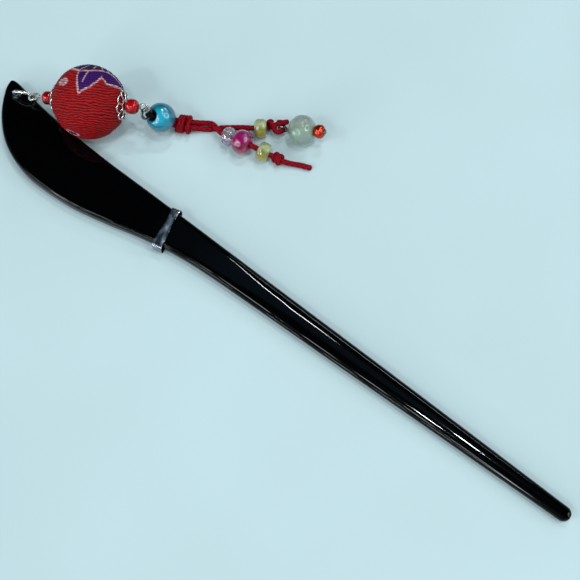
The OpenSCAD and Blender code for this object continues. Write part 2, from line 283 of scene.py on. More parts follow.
def bead_profile(wide, long, bore, rim, lip):
    """A drilled bead's outline: its rim has the radius rim, and its bore's edges have the radius lip."""
    half, outer = long / 2, wide / 2
    points = []
    for k in range(RIM_STEPS + 1):
        a = math.pi / 2 - math.pi * k / RIM_STEPS
        shift = half - rim if a > 0 else rim - half
        x = outer - rim + rim * math.cos(a)
        if x > bore + lip:
            points.append((x, shift + rim * math.sin(a)))
    top, bottom = points[0][1], points[-1][1]
    edge = quarter_round(lip, LIP_STEPS)
    points += [(bore + out, bottom + up) for out, up in edge]
    points += [(bore, z) for z in np.linspace(bottom + lip, top - lip, BORE_STEPS + 1)[1:-1]]
    return points + [(bore + out, top - down) for down, out in edge]


# Materials
# The way along which the glass beads' painted light and shade runs, up and away from the camera
PAINTED_LIGHT_WAY = aimed(CAMERA_AZIMUTH + 90, 30)


def new_material(name, **sockets):
    """A node material whose shader has these values, with underscores for the spaces in their names."""
    made = bpy.data.materials.new(name)
    made.use_nodes = True
    shader = made.node_tree.nodes["Principled BSDF"]
    for key, value in sockets.items():
        shader.inputs[key.replace("_", " ")].default_value = value
    return made, made.node_tree, shader


def feed(shader, key, value):
    shader.id_data.links.new(value, shader.inputs[key])


def add_node(tree, kind, inputs=None, **settings):
    node = tree.nodes.new(kind)
    for key, value in settings.items():
        setattr(node, key, value)
    for key, value in (inputs or {}).items():
        if isinstance(value, bpy.types.NodeSocket):
            feed(node, key, value)
        else:
            node.inputs[key].default_value = value
    return node


def object_point(tree):
    return add_node(tree, "ShaderNodeTexCoord").outputs["Object"]


def noise_value(tree, scale, detail=3):
    """Noise whose scale is in waves per metre."""
    return add_node(tree, "ShaderNodeTexNoise", {"Vector": object_point(tree), "Scale": scale,
                    "Detail": detail}).outputs["Fac"]


def ramp(tree, value, stops):
    """Colours along a value: stops hold a place and a colour."""
    node = add_node(tree, "ShaderNodeValToRGB", {"Fac": value})
    elements = node.color_ramp.elements
    while len(elements) < len(stops):
        elements.new(0.5)
    for element, (place, colour) in zip(elements, stops):
        element.position = place
        element.color = (*colour, 1)
    return node.outputs["Color"]


def spread(tree, value, low, high, from_low=0.3, from_high=0.7):
    return add_node(tree, "ShaderNodeMapRange", {"Value": value, "From Min": from_low, "From Max": from_high,
                    "To Min": low, "To Max": high}).outputs["Result"]


def added(tree, a, b):
    return add_node(tree, "ShaderNodeMath", {0: a, 1: b}, operation="ADD").outputs["Value"]


def dot(tree, vector, way):
    return add_node(tree, "ShaderNodeVectorMath", {0: vector, 1: tuple(way)},
                    operation="DOT_PRODUCT").outputs["Value"]


def bump(tree, shader, height, distance, strength):
    node = add_node(tree, "ShaderNodeBump", {"Height": height, "Distance": distance, "Strength": strength})
    feed(shader, "Normal", node.outputs["Normal"])


def attribute(tree, name):
    return add_node(tree, "ShaderNodeAttribute", attribute_name=name).outputs["Fac"]


def mixed(tree, share, a, b):
    """Colour a where share is 0 and b where it is 1."""
    return add_node(tree, "ShaderNodeMix", {0: share, 6: a, 7: b}, data_type="RGBA").outputs[2]


def black_plastic():
    made, tree, shader = new_material("black_plastic", Base_Color=(0.0006, 0.0007, 0.0009, 1),
                                      IOR=1.44, Specular_IOR_Level=0.27)
    feed(shader, "Roughness", spread(tree, noise_value(tree, 900), 0.03, 0.06, 0, 1))
    bump(tree, shader, noise_value(tree, 420, detail=1), 0.00002, 0.5)
    return made


DULL_SHARE = 0.72


def metal(name, colour, low, high, scale=2500, depth=0.00001, metallic=1):
    """Metal whose roughness goes from low to high, with duller patches."""
    made, tree, shader = new_material(name, Metallic=metallic)
    grain = noise_value(tree, scale)
    feed(shader, "Roughness", spread(tree, grain, low, high))
    tarnish = noise_value(tree, scale / 4, detail=4)
    dull = tuple(c * DULL_SHARE for c in colour)
    feed(shader, "Base Color", ramp(tree, tarnish, [(0.35, dull), (0.6, colour)]))
    bump(tree, shader, grain, depth, 0.6)
    return made


def glass(name, colours, weight, roughness=0.03, scale=600, cloudy=0.25, coat=1):
    """Coloured glass whose colour, with painted light and shade, runs from its low side to its high side,
    with cloudy streaks.
    """
    made, tree, shader = new_material(name, Transmission_Weight=weight, IOR=1.5, Specular_IOR_Level=0.2,
                                      Coat_Weight=coat, Coat_IOR=1.75, Coat_Roughness=0.01)
    cloud = noise_value(tree, scale, detail=3)
    streak = spread(tree, cloud, -cloudy, cloudy)
    # Painted light and shade: the colour ramps over each bead's height
    feed(shader, "Base Color", ramp(tree, added(tree, attribute(tree, "height"), streak), colours))
    feed(shader, "Roughness", spread(tree, cloud, roughness, roughness * 2, 0, 1))
    return made


# Each glass's colours along a bead's height, with painted light and shade: lighter, darker and highlight
# bands over its own colour
RED_COLOURS_WITH_PAINTED_LIGHT = [(0.1, (0.1, 0, 0.001)), (0.3, (0.38, 0, 0.002)), (0.6, (0.55, 0.002, 0.004)),
               (0.9, (0.22, 0, 0.002))]
CLEAR_COLOURS_WITH_PAINTED_LIGHT = [(0.1, (0.66, 0.5, 0.6)), (0.45, (0.92, 0.76, 0.9)), (0.9, (0.75, 0.7, 0.72))]
MAGENTA_COLOURS_WITH_PAINTED_LIGHT = [(0.1, (0.34, 0, 0.05)), (0.35, (0.16, 0, 0.04)), (0.6, (0.34, 0, 0.1)),
                   (0.9, (0.24, 0.015, 0.11))]
YELLOW_COLOURS_WITH_PAINTED_LIGHT = [(0.08, (0.5, 0.36, 0.04)), (0.3, (0.26, 0.24, 0.03)), (0.5, (0.25, 0.27, 0.08)),
                  (0.7, (0.5, 0.54, 0.27)), (0.95, (0.3, 0.33, 0.14))]
PALE_COLOURS_WITH_PAINTED_LIGHT = [(0.05, (0.34, 0.42, 0.38)), (0.3, (0.34, 0.46, 0.36)), (0.5, (0.24, 0.34, 0.25)),
                (0.75, (0.36, 0.43, 0.36)), (1, (0.28, 0.34, 0.32))]


def cord_red():
    """Braided cord with painted shade: dark between its yarns and nearly black where it is squeezed in the
    bead's bore, with brighter fibres on the yarns.
    """
    made, tree, shader = new_material("red_cord", Roughness=0.5, Specular_IOR_Level=0.08)
    lift = attribute(tree, "lift")
    fibre = noise_value(tree, 9000, detail=2)
    # Painted shade from lift: low where the yarns dip, 0 in the bore
    shade = ramp(tree, lift, [(0, (0.006, 0, 0.001)), (0.35, (0.06, 0, 0.003)),
                              (0.8, (0.34, 0.001, 0.009))])
    bright = ramp(tree, lift, [(0, (0.01, 0, 0.001)), (0.3, (0.5, 0.01, 0.03))])
    feed(shader, "Base Color", mixed(tree, spread(tree, fibre, 0, 0.3, 0.45, 0.75), shade, bright))
    bump(tree, shader, fibre, 0.00003, 0.7)
    return made


# Cord
CORD_R = 0.75
SQUEEZED_R = 0.5
FOLD = (38.7, 13.9, 9.6)
MAIN_LOWER = [(42.1, 20, 2.2), (45.6, 22.2, 2.1)]
MAIN_UPPER = [(43, 18.6, 2.2), (46.5, 20.8, 2.1)]
PAIR = [(54.2, 24.7, 2.2), (62.8, 26.2, 3.7)]
STOP = [(64.3, 26.85, 2.95), (71.7, 28.8, 1.55)]
SINGLE = [(59.1, 30.7, 2.5), (62.5, 33.4, 2.6)]
# Each route's first points lie in the blue bead's bore, where the cord is squeezed
LOWER_SQUEEZED = [FOLD, (38.3, 14, 9.1), (38.2, 14.4, 8.6), (39.5, 16.7, 5.6), (40.5, 18.8, 3.1)]
LOWER_FREE = [(41.2, 19.4, 2.5), *MAIN_LOWER, (46.8, 23.6, 1.2), (48.3, 24.8, 1.1), (50, 25.3, 2.12),
              (51.6, 25, 2.6), (53, 24.6, 2.4), *PAIR, *STOP, (73.4, 29.9, 0.9), (75.2, 31, 0.8),
              (78.2, 32.25, 0.8)]
UPPER_SQUEEZED = [FOLD, (39.3, 14, 9.6), (39.7, 14.5, 9.3), (40.9, 16.8, 6.3), (42, 18.6, 3.7)]
UPPER_FREE = [(42.5, 18.5, 2.8), *MAIN_UPPER, (47.9, 22.4, 1.1), (49.5, 23.6, 0.8), (51.1, 25.1, 0.8),
              (52.8, 26.9, 0.8), (54.5, 28.3, 0.9), (56.6, 29.6, 1.5), *SINGLE]
# From the fold to the bare end and to the upper knot, in metres
BRAID_STRANDS = 4
BRAID_LAY = 1.5
BRAID_DEPTH = 0.16
BRAID_MEAN = 0.75
YARN_ROUNDNESS = 0.6
YARN_UNDER = 0.45
ROUND_END = 0.45
BLUNT_END = 0.92
END_LIFT = 0.2
FREE_FROM = SQUEEZED_R + 0.03
# Step along the route, points of a section, and reach of a rounded corner
CORD_GRID = (0.11, 28, 1.1)
KNOT_GRID = (0.13, 20, 0.6)


def braid(angles, along):
    """How high a braid's yarns stand, from 0 to 1, round one section of a cord."""
    place, shift = BRAID_STRANDS * angles / (2 * math.pi), along / BRAID_LAY
    u, v = place + shift, place - shift
    over = 0.5 + 0.5 * np.sin(math.pi * (u + v)) * np.sign(np.sin(math.pi * (u - v)))
    yarn_u = np.abs(np.sin(math.pi * u)) ** YARN_ROUNDNESS * (YARN_UNDER + (1 - YARN_UNDER) * over)
    yarn_v = np.abs(np.sin(math.pi * v)) ** YARN_ROUNDNESS * (1 - (1 - YARN_UNDER) * over)
    return (yarn_u + yarn_v) / 2


def cord_tube(route, grid, both_round=False):
    """A braided tube with a rounded end: its mesh, yarn heights and centreline."""
    step, sides, reach = grid
    path, places = resampled(rounded_path(route, reach), step)
    free = path[:, 3] > FREE_FROM
    left = places[-1] - places
    if both_round:
        left = np.minimum(left, places)
    path[:, 3] *= np.sqrt(1 - np.clip(1 - left / ROUND_END, 0, BLUNT_END) ** 2)
    tube = sweep(path, sides, lambda angles, along: BRAID_DEPTH * (braid(angles, along) - BRAID_MEAN))
    angles = np.radians(full_turn(sides))
    # lift is the yarns' height, 0 where the cord is squeezed in the bore: the cord's colour paints shade
    # from it
    lift = np.concatenate([braid(angles, s) * f for s, f in zip(places, free)] + [[END_LIFT, END_LIFT]])
    return tube, lift, path


def make_cord(name, squeezed, free, material):
    route = np.vstack([with_radius(squeezed, SQUEEZED_R), with_radius(free, CORD_R)])
    tube, lift, path = cord_tube(route, CORD_GRID)
    piece = make_piece(name, *tube, material, values={"lift": lift})


def make_knot(name, routes, material):
    """Braided tubes along several routes, as one piece."""
    tubes = [cord_tube(route, KNOT_GRID, both_round=True) for route in routes]
    verts, faces = join_parts([tube for tube, _, _ in tubes])
    lift = np.concatenate([lift for _, lift, _ in tubes])
    make_piece(name, verts, faces, material, values={"lift": lift})


COIL_POINTS = 20
COILS = {
    # half width, half height, turns, the cord's radius, the first turn's angle, and lean along the way
    "main": (2, 1.4, 2.6, 0.66, 200, 0.35),
    "main_end": (2.1, 1.45, 1.05, 0.64, 90, 0),
    "lower": (0.85, 0.8, 1.6, 0.85, 30, 0.3),
    "upper": (0.95, 0.9, 1.6, 0.7, 60, 0.2),
}


def coil_path(start, end, across, coil):
    """Turns of cord wound round the line from start to end, wider along the direction across."""
    half_w, half_h, turns, wire, phase, lean = COILS[coil]
    way = unit(end - start)
    side = unit(across - way * np.dot(across, way))
    up = np.cross(way, side)
    points = []
    for t in np.linspace(0, 1, int(turns * COIL_POINTS) + 1):
        a = 2 * math.pi * turns * t + math.radians(phase)
        points.append(start + (end - start) * t + way * lean * math.cos(a)
                      + side * half_w * math.cos(a) + up * half_h * math.sin(a))
    return with_radius(points, wire)


def middle(a, b, share=0.5):
    return np.asarray(a, float) * (1 - share) + np.asarray(b, float) * share


def on_stretch(ends, along):
    """The point at a distance along a straight stretch, and the stretch's direction."""
    a, b = np.asarray(ends, float)
    return a + along * unit(b - a), unit(b - a)


# Drop
PALE_AT = np.array([70.3, 37.95, 4.02])
DROP_TURN = 25
DROP_WAY = aimed(DROP_TURN, 17)
DROP_WIRE_R = 0.28
EYE_R = 1.15
EYE_ALONG = 5.4
EYE_AT = PALE_AT - EYE_ALONG * DROP_WAY
END_ALONG = 4.8
LOOP_R = 1.2
LOOP_CORD_R = 0.7
MAIN_SPAN = (0.16, 0.6)
MAIN_END_SPAN = (0.83, 0.88)
LOWER_KNOT_ALONG = 5.94
LOWER_KNOT_HALF = 1
UPPER_KNOT_AT = np.array([62.25, 35, 1.8])
UPPER_KNOT_TURN = 60
UPPER_KNOT_HALF = 0.35
UPPER_KNOT_END = [
    # x, y, z and radius of the short end beyond the knot
    (63.2, 36, 2.5, 0.9),
    (64.1, 36.5, 2.8, 0.95),
    (64.9, 36.8, 3.4, 0.75),
    (66.1, 37.2, 4.9, 0.7),
]


def make_knots(material):
    main = [middle(a, b) for a, b in zip(MAIN_LOWER, MAIN_UPPER)]
    across = np.subtract(MAIN_LOWER[0], MAIN_UPPER[0])
    block, band = [coil_path(middle(*main, a), middle(*main, b), across, coil)
                   for (a, b), coil in ((MAIN_SPAN, "main"), (MAIN_END_SPAN, "main_end"))]
    make_knot("knot_main", [block, band], material)
    spot, way = on_stretch(STOP, LOWER_KNOT_ALONG)
    half = LOWER_KNOT_HALF * way
    turns = coil_path(spot - half, spot + half, square_to(way)[0], "lower")
    make_knot("knot_lower", [turns], material)
    way = aimed(UPPER_KNOT_TURN, 0)
    half = UPPER_KNOT_HALF * way
    lobe = coil_path(UPPER_KNOT_AT - half, UPPER_KNOT_AT + half, square_to(way)[0], "upper")
    loop = arc_path(EYE_AT - LOOP_R * aimed(DROP_TURN, 0), (0, 0, 1), LOOP_R, LOOP_CORD_R, 40, 359)
    make_knot("knot_upper", [lobe, loop, UPPER_KNOT_END], material)


# Stick
BELLY_X, UNDER, TOP, CORNER_W, CORNER_H = 2, 4, 5, 6, 7
STICK_ROWS = np.array([
    # back x, back y, belly x, belly y, under, top, corner width, corner height
    [1.55, 1.55, 0.31, -0.15, 1.4, 3.3, 0.9, 0.85],
    [2.3, 1.58, 0.62, -1.3, 1.4, 3.3, 1, 0.9],
    [3.3, 1.5, 1.3, -2.6, 1.4, 3.32, 1.1, 0.9],
    [5, 1.25, 2.98, -5.12, 1.4, 3.36, 1.1, 0.9],
    [7.5, 0.95, 4.82, -7.43, 1.4, 3.4, 1.2, 0.95],
    [10.5, 0.6, 7.33, -9.9, 1.3, 3.45, 1.2, 1],
    [14, 0.25, 11.14, -12.69, 0.75, 3.5, 1.2, 1],
    [18, 0, 16.02, -14.97, 0.15, 3.5, 1.2, 1],
    [23, -0.2, 22.4, -16.48, 0, 3.5, 1.2, 1],
    [29, -0.35, 29.2, -16.5, 0, 3.5, 1.2, 1],
    [38, -0.35, 38, -15.57, 0, 3.5, 1.2, 1],
    [48, -0.16, 48, -13.23, 0, 3.5, 1.2, 1],
    [57, 0, 57, -10.85, 0.4, 3.6, 1.3, 1.1],
    [67, 0.2, 67, -8.8, 0.4, 3.6, 1.5, 1.25],
    [77, 0.35, 77, -7.7, 0.4, 3.6, 1.8, 1.4],
    [95, 0.64, 95, -6.65, 0.3, 3.5, 3.1, 1.55],
    [120, 1.05, 120, -5.27, 0.15, 3.35, 9, 9],
    [150, 1.43, 150, -3.57, 0, 3.15, 9, 9],
    [178.39, 1.69, 178.39, -2.03, 0, 2.9, 9, 9],
])
BLADE_END_AT = np.array([1.55, 0.25])
BLADE_END_R = 1.3
# Directions from there to the end's farthest point, to the back and to the belly
BLADE_END_ANGLES = (148, 90, 198)
SHAFT_TIP_AT = np.array([178.39, -0.17])
SHAFT_TIP_R = 1.86
# A round end's sections crowd towards its farthest point, where it narrows to almost nothing
END_SECTIONS = 14
END_CROWDING = 1.6
END_REACH = 0.97
END_NARROWING = 0.9999
HOLE_AT = np.array([4.6, -1.4, 0])
HOLE_R = 1.1
HOLE_RIM = 0.2
HOLE_STEPS = 5
HOLE_ROW = 3
CUTTER_SPARE = 1.2
CUTTER_CORE_R = 0.0001
CUTTER_LIFT = 0.001
SECTION_STEPS = 14
STATION_STEP = 0.9
FEWEST_STATIONS = 3
CORNER_LIMIT = 0.97
STICK_SHARP_ANGLE = 50


def curve(a, b, c, d, t):
    """A smooth curve at the share t of its way from b to c. a and d are the points round them."""
    return b + 0.5 * t * (c - a + t * (2 * a - 5 * b + 4 * c - d + t * (3 * (b - c) + d - a)))


def stick_row(i, t):
    """The stick's table between two rows: the corners ease, and the rest is a smooth curve."""
    last = len(STICK_ROWS) - 1
    a, b = STICK_ROWS[max(i - 1, 0)], STICK_ROWS[i]
    c, d = STICK_ROWS[i + 1], STICK_ROWS[min(i + 2, last)]
    row = b + (c - b) * (t * t * (3 - 2 * t))
    row[:CORNER_W] = curve(a, b, c, d, t)[:CORNER_W]
    row[UNDER] = max(row[UNDER], 0)
    return row


def section(row, shrink=0):
    """The points round one section, and shrink is how much its height loses near a round end."""
    back, belly = np.array(row[:2]), np.array(row[2:4])
    mid, across = (back + belly) / 2, unit(back - belly)
    half_w = np.linalg.norm(back - belly) / 2
    half_h, mid_z = (row[TOP] - row[UNDER]) / 2 - shrink, (row[TOP] + row[UNDER]) / 2
    cw, ch = min(half_w * CORNER_LIMIT, row[CORNER_W]), min(half_h * CORNER_LIMIT, row[CORNER_H])
    return [(*(mid + across * w), mid_z + h)
            for w, h in rounded_box(half_w, half_h, cw, ch, SECTION_STEPS)]


def end_section(spot, r, back_angle, belly_angle, share, row):
    """A section of a round end: its two edges lie on the end's circle."""
    fillet = min(r, row[CORNER_H], (row[TOP] - row[UNDER]) / 2)
    gone = min(r * (1 - math.sin(math.pi / 2 * share)), fillet * END_NARROWING)
    edges = [spot + r * aimed(angle, 0)[:2] for angle in (back_angle, belly_angle)]
    return section([*edges[0], *edges[1], *row[UNDER:]], fillet - math.sqrt(fillet ** 2 - gone ** 2))


def stick_rings():
    apex, back, belly = BLADE_END_ANGLES
    shares = 1 - END_REACH * np.linspace(1, 0, END_SECTIONS, endpoint=False)[:-1] ** END_CROWDING
    rings = [end_section(BLADE_END_AT, BLADE_END_R, apex + (back - apex) * s, apex + (belly - apex) * s, s,
                         STICK_ROWS[0]) for s in shares]
    for i in range(len(STICK_ROWS) - 1):
        length = abs(STICK_ROWS[i + 1][BELLY_X] - STICK_ROWS[i][BELLY_X]) + STATION_STEP / 2
        splits = max(FEWEST_STATIONS, int(length / STATION_STEP))
        rings += [section(stick_row(i, k / splits)) for k in range(splits)]
    rings.append(section(STICK_ROWS[-1]))
    return rings + [end_section(SHAFT_TIP_AT, SHAFT_TIP_R, 90 * s, -90 * s, s, STICK_ROWS[-1])
                    for s in shares[::-1]]


def cut_hole(piece):
    """Cuts the hole, whose rim is rounded a little where it meets the faces."""
    low, high = STICK_ROWS[HOLE_ROW][UNDER], STICK_ROWS[HOLE_ROW][TOP]
    rim = quarter_round(HOLE_RIM, HOLE_STEPS)
    wide = HOLE_R + CUTTER_SPARE
    profile = [(wide, high + CUTTER_SPARE), (HOLE_R + HOLE_RIM, high + CUTTER_LIFT)]
    profile += [(HOLE_R + out, high - down) for out, down in rim[1:]]
    profile += [(HOLE_R + out, low + up) for up, out in rim]
    profile += [(wide, low - CUTTER_SPARE), (CUTTER_CORE_R, low - CUTTER_SPARE),
                (CUTTER_CORE_R, high + CUTTER_SPARE)]
    cutter = add_object("cutter", layout_mesh("cutter", *lathe(profile, HOLE_AT, (0, 0, 1), 48)))
    modifier = piece.modifiers.new("hole", "BOOLEAN")
    modifier.operation = "DIFFERENCE"
    modifier.solver = "EXACT"
    modifier.object = cutter
    bpy.context.view_layer.update()
    done = bpy.data.meshes.new_from_object(piece.evaluated_get(bpy.context.evaluated_depsgraph_get()))
    piece.modifiers.clear()
    piece.data = done
    bpy.data.objects.remove(cutter)


def make_stick(material):
    rings = stick_rings()
    count, sides = len(rings), len(rings[0])
    faces = [tuple(reversed(f)) for f in grid_faces(count, sides)]
    faces.append(tuple(range(sides)))
    faces.append(tuple(reversed(range((count - 1) * sides, count * sides))))
    piece = make_piece("stick", np.vstack(rings), faces, material)
    cut_hole(piece)
    piece.data.set_sharp_from_angle(angle=math.radians(STICK_SHARP_ANGLE))


# Band
BAND_AT = np.array([61.2, -5, 0])
BAND_WAY = aimed(14.8, 0)
BAND_SIDE = np.array([-BAND_WAY[1], BAND_WAY[0], 0])
BAND_W = 2.3
BAND_T = 0.25
BAND_HALF = 5.75
BAND_LOW = 0.33
BAND_HIGH = 3.67
BAND_CORNER = 0.8
BAND_CORNER_STEPS = 6
BAND_STEP = 0.16
BAND_COLS = 15
BAND_SHARP_ANGLE = 40
SEAM_X = 0.4
SEAM_RISE = 0.001
SHEET_T = 0.09
DENT_SHARE = 0.65
EDGE_CURL = 0.03
EDGE_WAVE = 0.06
# Places across the stick, and the strip's width there as a share of its usual width
WAIST_PLACES = (-5.75, -3, 1.5, 4, 5.75)
WAIST_SHARES = (1.12, 1.1, 0.8, 0.92, 1.02)
LAP_FROM = -5.15
LAP_TO = 3.6
LAP_W = 2.18
LAP_T = 0.1
LAP_SUNK = 0.02
LAP_WAVE = 0.08
LAP_DROOP = 0.01
LAP_ROWS = 48
LAP_COLS = 13


def band_waist(across):
    return np.interp(across, WAIST_PLACES, WAIST_SHARES)


def on_band(across, along, height):
    return BAND_AT + BAND_SIDE * across + BAND_WAY * along + np.array([0, 0, height])


def band_outline():
    """The inner outline of the strip, seen along the stick, from the seam round to the seam again."""
    mid_z, half_h = (BAND_LOW + BAND_HIGH) / 2, (BAND_HIGH - BAND_LOW) / 2
    box = rounded_box(BAND_HALF, half_h, BAND_CORNER, BAND_CORNER, BAND_CORNER_STEPS, first=1)
    points = [(SEAM_X, BAND_HIGH), *((x, mid_z + z) for x, z in box), (SEAM_X, BAND_HIGH + SEAM_RISE)]
    return resampled(with_radius(points, 0), BAND_STEP)[0][:, :2]


def band_skin(outline, normals, outer):
    """One skin of the crumpled strip. The outer one, where outer is 1, curls in at its edges."""
    points = []
    for i, (p, n) in enumerate(zip(outline, normals)):
        for share in np.linspace(-1, 1, BAND_COLS):
            waist = band_waist(p[0])
            w = share * waist * BAND_W / 2
            crumple = 0.5 + 0.5 * noise.noise(Vector((i * 0.22, w * 1.1, 3.7)))
            dent = 0.5 + 0.5 * noise.noise(Vector((i * 0.07, w * 0.5, 9.1)))
            near_edge = abs(share) * waist
            out = (BAND_T - SHEET_T) * ((1 - DENT_SHARE) * crumple + DENT_SHARE * dent)
            out += (SHEET_T - EDGE_CURL * near_edge ** 5) * outer
            sign = np.sign(w)
            edge = EDGE_WAVE * noise.noise(Vector((i * 0.1, 5 + sign * 2, 1.3))) * near_edge ** 3
            across, height = p + n * out
            points.append(on_band(across, w + edge * sign, height))
    return points


def lap_flap():
    """The strip's lapped end: a second layer that lies on most of the face."""
    skins = [[], []]
    for skin, lift in zip(skins, (0, LAP_T)):
        for x in np.linspace(LAP_TO, LAP_FROM, LAP_ROWS):
            for share in np.linspace(-0.5, 0.5, LAP_COLS):
                w = share * LAP_W * band_waist(x)
                wave = LAP_WAVE * noise.noise(Vector((x * 0.45, w * 0.8, 6.1))) - LAP_DROOP * w * w
                skin.append(on_band(x, w, BAND_HIGH + BAND_T - LAP_SUNK + wave + lift))
    return slab(*skins, LAP_ROWS, LAP_COLS)


def make_band(material):
    """A crumpled strip: its two skins follow the outline, and the lapped end lies on the face."""
    outline = band_outline()
    tangents = np.gradient(outline, axis=0)
    tangents /= np.linalg.norm(tangents, axis=1)[:, None]
    normals = np.stack([tangents[:, 1], -tangents[:, 0]], axis=1)
    skins = [band_skin(outline, normals, outer) for outer in (0, 1)]
    strip = slab(*skins, len(outline), BAND_COLS)
    piece = make_piece("band", *join_parts([strip, lap_flap()]), material)
    piece.data.set_sharp_from_angle(angle=math.radians(BAND_SHARP_ANGLE))


# Ball, its wire, its caps and the red beads beside them
BALL_LOW, BALL_HIGH = [np.array(corner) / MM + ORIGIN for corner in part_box("fabric_ball")]
BALL_AT = (BALL_LOW + BALL_HIGH) / 2
BALL_R = (BALL_HIGH[2] - BALL_LOW[2]) / 2
PIN_WAY = aimed(28, 8.2)
PIN_R = 0.3
CAP_T = 0.35
CAP_GAP = 0.1
BEAD_GAP = 0.05
CAP_OUT_R = BALL_R + CAP_GAP + CAP_T
# Each bead's size is its width, its length and its bore's radius
RED_LEFT = (3.5, 3, 0.5)
RED_RIGHT = (3.9, 3.3, 0.5)
LEFT_BEAD_END = CAP_OUT_R + BEAD_GAP + RED_LEFT[1]
LEFT_LOOP_AT = np.array([9.86, 0.62, 5.1])
LEFT_LOOP_R = 1.49
LEFT_LOOP_LIE = (33.4, 153)
RIGHT_LOOP_AT = BALL_AT + 14.97 * PIN_WAY
RIGHT_LOOP_R = 1.23
RIGHT_LOOP_LIE = (78.3, -63.7)
LEFT_NECK = 0.25
RIGHT_NECK = 0.2
BEND_REACH = 0.35
LOOP_POINTS = 44
LOOP_ANGLES = (16, 356.8)
WIRE_STEP = 0.12
RING_SLIT = 0.05
RINGS = {
    # middle, lie, radius, the wire's radius, and where the slit is
    "tip_ring": (np.array([6.83, -0.25, 3.43]), (76.7, 118.1), 3.09, 0.43, 200),
    "link_ring": (np.array([38.42, 13.95, 9.89]), (62.1, -2), 1.43, 0.34, 40),
}


def loop_points(centre, lie, radius, towards, angles=LOOP_ANGLES):
    """A wire's loop in its own plane, whose angles are counted from the direction towards."""
    axis = leaned(lie)
    out = unit(towards - axis * np.dot(towards, axis))
    return list(centre + radius * spokes(out, np.cross(axis, out), np.linspace(*angles, LOOP_POINTS)))


def wire_path(points, radius, reach):
    return resampled(rounded_path(with_radius(points, radius), reach), WIRE_STEP)[0]


def make_eye_pin(material):
    """One wire: the left loop, a bend, the straight run through the ball, and the right loop."""
    bend = BALL_AT - (LEFT_BEAD_END + PIN_R) * PIN_WAY
    left = loop_points(LEFT_LOOP_AT, LEFT_LOOP_LIE, LEFT_LOOP_R, bend - LEFT_LOOP_AT)
    right = loop_points(RIGHT_LOOP_AT, RIGHT_LOOP_LIE, RIGHT_LOOP_R, -PIN_WAY)
    neck = LEFT_LOOP_AT + (LEFT_LOOP_R + LEFT_NECK) * unit(bend - LEFT_LOOP_AT)
    points = left + [neck, bend, RIGHT_LOOP_AT - (RIGHT_LOOP_R + RIGHT_NECK) * PIN_WAY] + right[::-1]
    make_piece("eye_pin", *sweep(wire_path(points, PIN_R, BEND_REACH), 20), material)


def make_jump_ring(name, material):
    """A ring of round wire, with the fine slit where its ends meet."""
    centre, lie, radius, wire, seam = RINGS[name]
    turn = 360 - math.degrees(RING_SLIT / radius)
    path = arc_path(centre, leaned(lie), radius, wire, 96, turn, start=seam)
    make_piece(name, *sweep(path, 24), material)


def make_red_beads(material):
    for name, size, sign in (("red_bead_left", RED_LEFT, -1), ("red_bead_right", RED_RIGHT, 1)):
        out = sign * (CAP_OUT_R + BEAD_GAP + size[1] / 2)
        make_bead(name, BALL_AT + out * PIN_WAY, PIN_WAY, size, 0.8, material)


def make_bead(name, centre, way, size, roundness, material, lip=0.12):
    """A drilled bead, whose height says how far each point is along the way of the painted light and shade,
    which its glass paints from it.
    """
    wide, long, bore = size
    verts, faces = lathe(bead_profile(wide, long, bore, long / 2 * roundness, lip), centre, way, 72)
    # height runs along that way; the glass paints its light and shade from it
    height = 0.5 + (verts - centre) @ PAINTED_LIGHT_WAY / wide
    make_piece(name, verts, faces, material, values={"height": height})


def on_cap(angle, off_axis, lift, sign):
    """A point over the ball at an angle round the wire, off_axis from it, and lift above the ball."""
    along = math.sqrt((BALL_R + lift) ** 2 - off_axis ** 2)
    return BALL_AT + sign * along * PIN_WAY + off_axis * spokes(*square_to(PIN_WAY), angle)[0]


PETAL_COUNT = 8
PETAL_FROM = 1.45
PETAL_TO = 3.72
PETAL_HALF_W = 1.08
PETAL_WIRE_R = 0.22
PETAL_POINTS = 40
PETAL_BALL_R = 0.26
PETAL_LIFT = CAP_GAP + CAP_T / 2
DISC_LIFT = 0.13
DISC = [(0.55, 0.02), (0.75, -0.12), (1.2, -0.1), (1.62, -0.06), (1.78, 0.06), (1.7, 0.24), (1.4, 0.2),
        (1.05, 0.22), (0.75, 0.3), (0.58, 0.22)]


def petal_loop(turn, sign):
    """A closed egg-shaped wire on the cap's dome, wider at its outer end."""
    points = []
    for a in np.radians(full_turn(PETAL_POINTS)):
        share = (1 - math.cos(a)) / 2
        out = PETAL_FROM + (PETAL_TO - PETAL_FROM) * share
        across = PETAL_HALF_W * math.sin(a) * (0.75 + 0.45 * share)
        aside = math.degrees(math.atan2(across, out))
        points.append(on_cap(turn + aside, math.hypot(out, across), PETAL_LIFT, sign))
    return with_radius(points, PETAL_WIRE_R)


def make_cap(name, sign, material):
    """A pierced cap: petals of wire with a small ball at each tip, round a bored disc."""
    parts = []
    for turn in full_turn(PETAL_COUNT):
        parts.append(sweep(petal_loop(turn, sign), 10, closed=True))
        parts.append(small_ball(on_cap(turn, PETAL_TO, PETAL_LIFT, sign), PETAL_BALL_R))
    parts.append(lathe(DISC, on_cap(0, 0, DISC_LIFT, sign), sign * PIN_WAY, 48))
    make_piece(name, *join_parts(parts), material)


def small_ball(centre, radius, rows=7, cols=12):
    verts = [centre + radius * aimed(360 * j / cols, 180 * i / (rows + 1) - 90)
             for i in range(1, rows + 1) for j in range(cols)]
    verts += [centre + radius * aimed(0, tilt) for tilt in (-90, 90)]
    return np.array(verts), grid_faces(rows, cols) + end_fans(rows, cols)


# Crepe: ribs that lie side by side over the whole ball and waver, and printed flowers
BALL_COLS = 420
BALL_ROWS = 210
BALL_BORE = 0.55
MOUTH_R = 0.5225
MOUTH_DEPTH = 2.2
RIB_STEP = 0.7
RIB_DEPTH = 0.15
RIB_POLE = aimed(122.7, 29.3)
RIB_WANDER = 0.62
RIB_SHARPNESS = 1.2
RIB_FULL = 0.88
